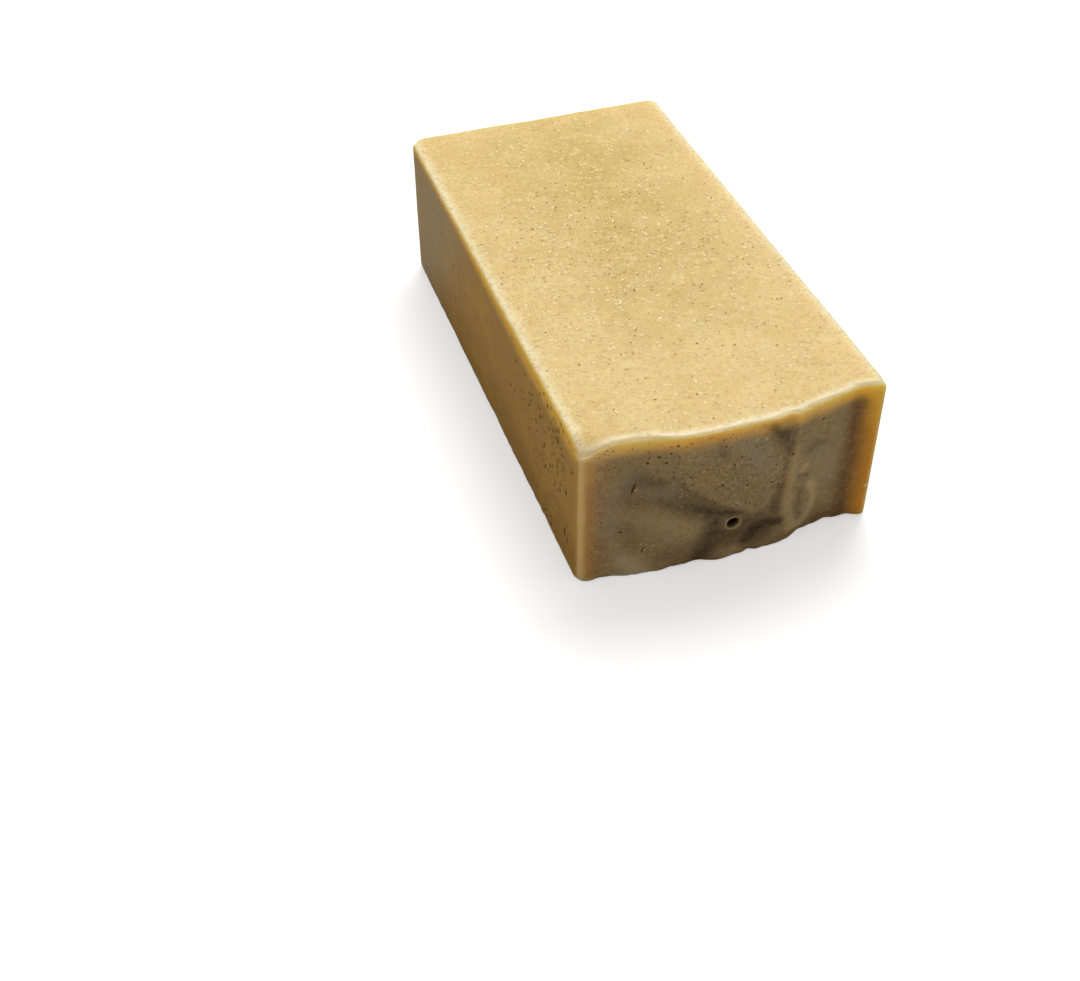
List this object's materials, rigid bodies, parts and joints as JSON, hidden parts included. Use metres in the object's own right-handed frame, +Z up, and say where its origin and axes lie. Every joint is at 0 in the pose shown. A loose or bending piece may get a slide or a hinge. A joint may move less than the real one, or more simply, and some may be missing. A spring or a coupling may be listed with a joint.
{
  "type": "bar of soap",
  "caption": "Hand-cut rectangular bar of soap lying on a cut face, with a softly folded poured top at one end.",
  "frame": {"origin": "under the middle of the bar, on the lower wire-cut face that it rests on", "axes": "+X across the mould's width, +Y from the poured crown to the foot, +Z up, from cut to cut"},
  "size_m": [0.051, 0.1006, 0.028],
  "materials": {
    "soap": "satin"
  },
  "bodies": {
    "root": {"soap_bar": "soap"}
  },
  "joints": []
}
